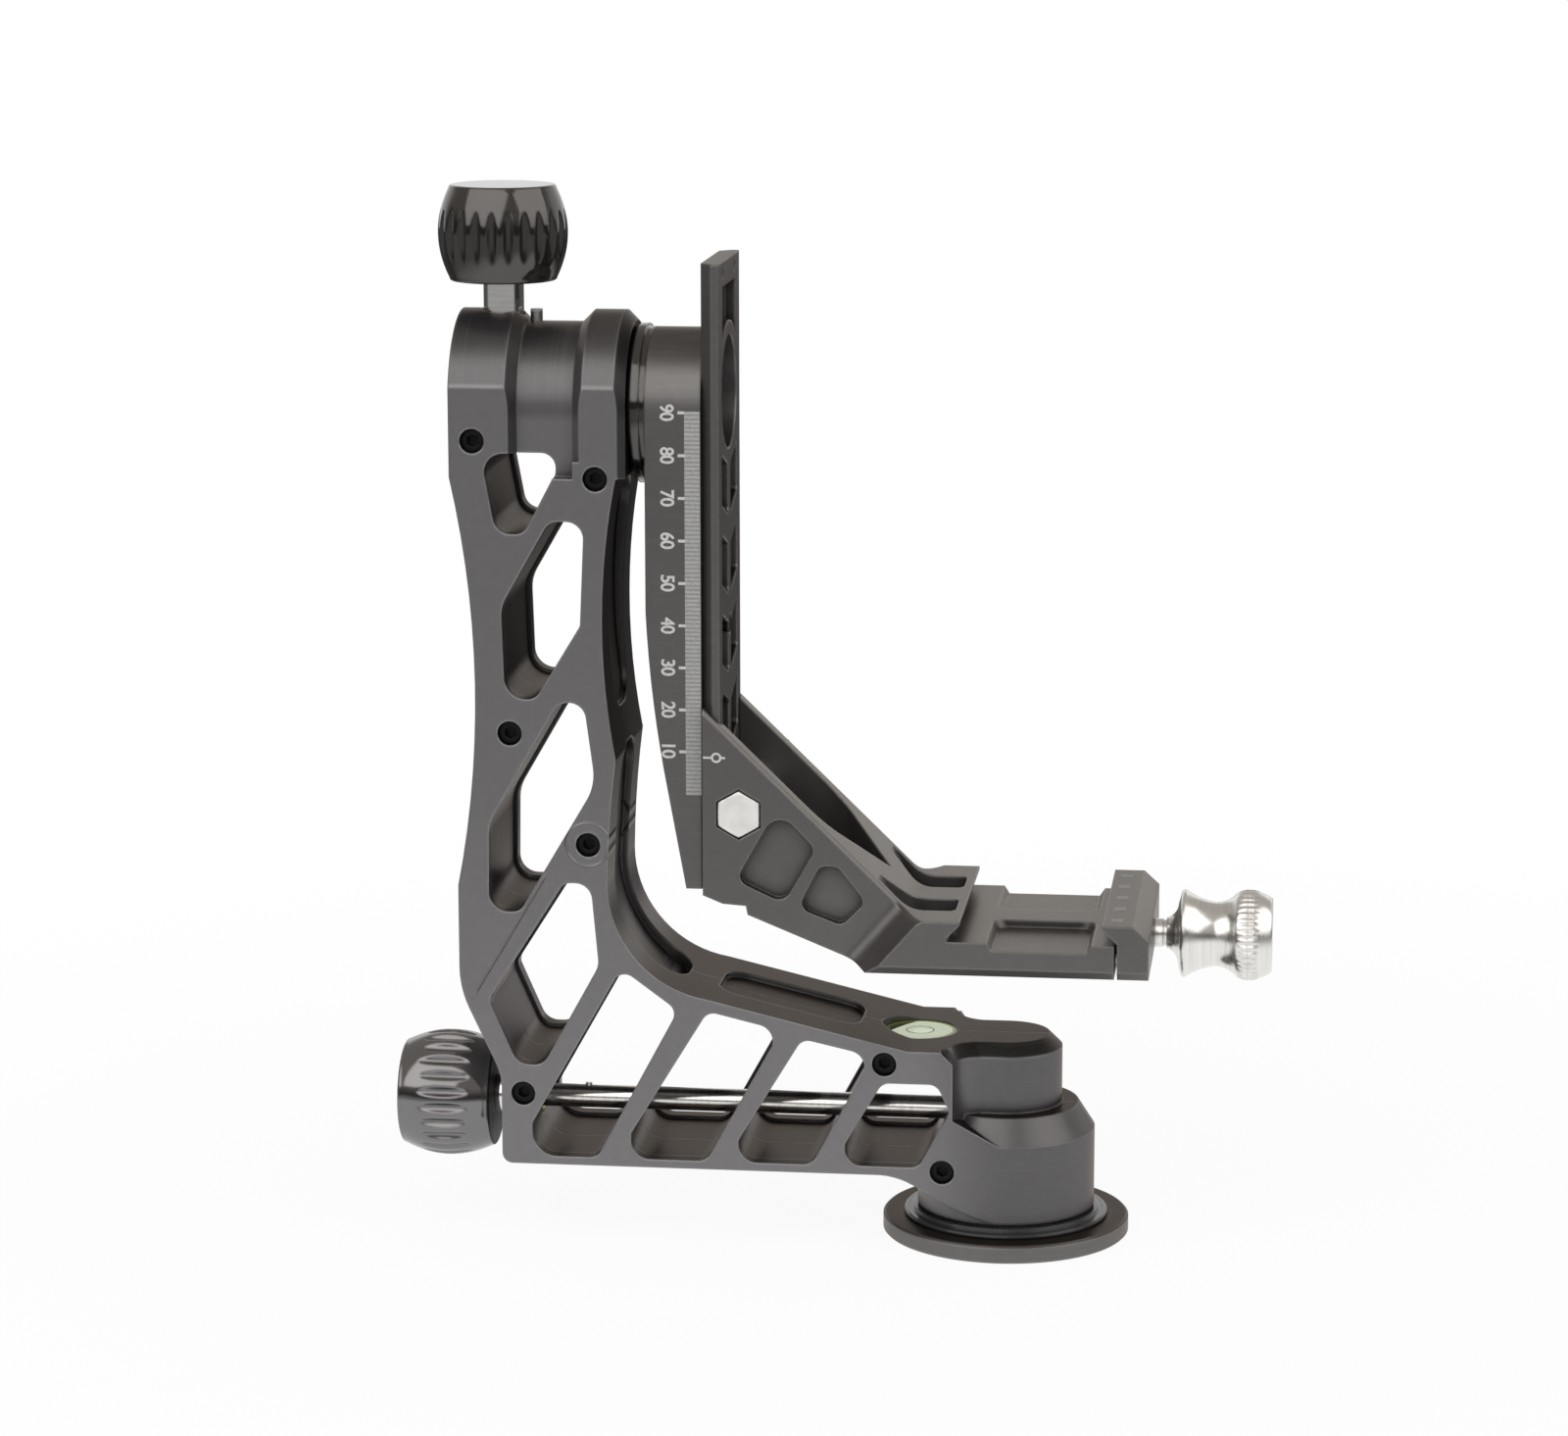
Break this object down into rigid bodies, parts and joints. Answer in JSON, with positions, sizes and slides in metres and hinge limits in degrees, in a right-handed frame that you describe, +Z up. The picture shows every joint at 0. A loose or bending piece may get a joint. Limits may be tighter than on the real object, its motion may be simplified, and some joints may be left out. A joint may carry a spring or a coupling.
{
  "type": "gimbal tripod head",
  "caption": "L-shaped gimbal head with pan and tilt locks, a graduated dovetail rail and a height-adjustable quick-release cradle platform.",
  "frame": {"origin": "centre of the base disc's underside, on the pan axis, at the tripod thread's mouth", "axes": "+Z up along the pan axis, +X from the upright towards the camera platform, +Y away from the graduated face; the tilt axis runs along X"},
  "size_m": [0.2092, 0.0668, 0.2499],
  "materials": {
    "frame_anodised": "dark grey satin anodised",
    "arm_anodised": "dark grey satin anodised",
    "carriage_anodised": "dark grey satin anodised",
    "base_anodised": "grey satin anodised",
    "gloss_black": "gloss black anodised",
    "seal_black": "gloss",
    "turned_steel": "polished",
    "black_steel": "black oxide",
    "bearing_steel": "ground",
    "bush_brass": "machined",
    "washer_plastic": "matt",
    "level_green": "gloss",
    "level_liquid": "gloss",
    "level_glass": "clear"
  },
  "bodies": {
    "base": {"base_disc": "base_anodised", "thread_insert": "bearing_steel", "dust_ring": "seal_black", "pan_spindle": "bearing_steel", "base_screws": "black_steel", "pan_thrust_washer": "washer_plastic", "pan_retaining_nut": "bearing_steel"},
    "frame": {"frame_front_half": "frame_anodised", "frame_rear_half": "frame_anodised", "frame_screws": "black_steel", "pan_bearing_lower": "bearing_steel", "pan_bearing_upper": "bearing_steel", "level_cup": "level_green", "level_fluid": "level_liquid", "level_lens": "level_glass", "tilt_bearing": "bearing_steel", "tilt_bush": "bush_brass", "tilt_lock_bush": "bush_brass", "pan_lock_bush": "bush_brass", "hub_set_screw": "bearing_steel"},
    "tilt_brake": {"tilt_brake_shoe": "bush_brass"},
    "tilt_lock": {"tilt_lock_stud": "turned_steel", "tilt_knob": "gloss_black"},
    "pan_brake": {"pan_brake_shoe": "bush_brass"},
    "pan_lock": {"pan_lock_rod": "turned_steel", "pan_knob": "gloss_black"},
    "swing": {"swing_arm": "arm_anodised", "dovetail_rail": "arm_anodised", "rail_screws": "black_steel", "tilt_axle": "bearing_steel", "axle_retaining_ring": "black_steel", "tilt_collar": "gloss_black", "axle_washer": "bearing_steel", "axle_bolt": "black_steel"},
    "carriage": {"carriage": "carriage_anodised", "height_bolt": "turned_steel"},
    "gib": {"clamp_gib": "carriage_anodised"},
    "height_lock": {"height_knob": "gloss_black"},
    "jaw": {"moving_jaw": "carriage_anodised", "jaw_pins": "bearing_steel"},
    "clamp": {"clamp_screw": "turned_steel", "clamp_knob": "turned_steel", "clamp_clip": "black_steel"}
  },
  "joints": [
    {"name": "pan", "type": "hinge", "parent": "base", "child": "frame", "pos_m": [0, 0, 0.026], "axis": [0, 0, 1], "continuous": true},
    {"name": "tilt", "type": "hinge", "parent": "frame", "child": "swing", "pos_m": [-0.1, 0, 0.1989], "axis": [1, 0, 0], "continuous": true},
    {"name": "height", "type": "slide", "parent": "swing", "child": "carriage", "axis": [0, 0, 1], "range_m": [-0.0086, 0.0814]},
    {"name": "tilt_brake_travel", "type": "slide", "parent": "frame", "child": "tilt_brake", "axis": [0, 0, 1], "range_m": [0, 0.001]},
    {"name": "tilt_knob_turn", "type": "hinge", "parent": "tilt_brake", "child": "tilt_lock", "pos_m": [-0.12, 0, 0.225], "axis": [0, 0, 1], "range_deg": [0, 360]},
    {"name": "pan_brake_travel", "type": "slide", "parent": "frame", "child": "pan_brake", "axis": [-1, 0, 0], "range_m": [0, 0.001]},
    {"name": "pan_knob_turn", "type": "hinge", "parent": "pan_brake", "child": "pan_lock", "pos_m": [-0.12, 0, 0.0295], "axis": [-1, 0, 0], "range_deg": [0, 360]},
    {"name": "gib_travel", "type": "slide", "parent": "carriage", "child": "gib", "axis": [0, 1, 0], "range_m": [0, 0.0006]},
    {"name": "height_knob_turn", "type": "hinge", "parent": "gib", "child": "height_lock", "pos_m": [-0.062, 0.028, 0.1047], "axis": [0, 1, 0], "range_deg": [0, 216]},
    {"name": "jaw_travel", "type": "slide", "parent": "carriage", "child": "jaw", "axis": [1, 0, 0], "range_m": [0, 0.004]},
    {"name": "clamp_knob_turn", "type": "hinge", "parent": "jaw", "child": "clamp", "pos_m": [0.04, 0, 0.0741], "axis": [1, 0, 0], "range_deg": [0, 1440]}
  ],
  "couplings": [
    {"joint": "tilt_knob_turn", "follows": "tilt_brake_travel", "rad_per_m": 6283},
    {"joint": "pan_knob_turn", "follows": "pan_brake_travel", "rad_per_m": 6283},
    {"joint": "height_knob_turn", "follows": "gib_travel", "rad_per_m": 6283},
    {"joint": "clamp_knob_turn", "follows": "jaw_travel", "rad_per_m": 6283}
  ]
}
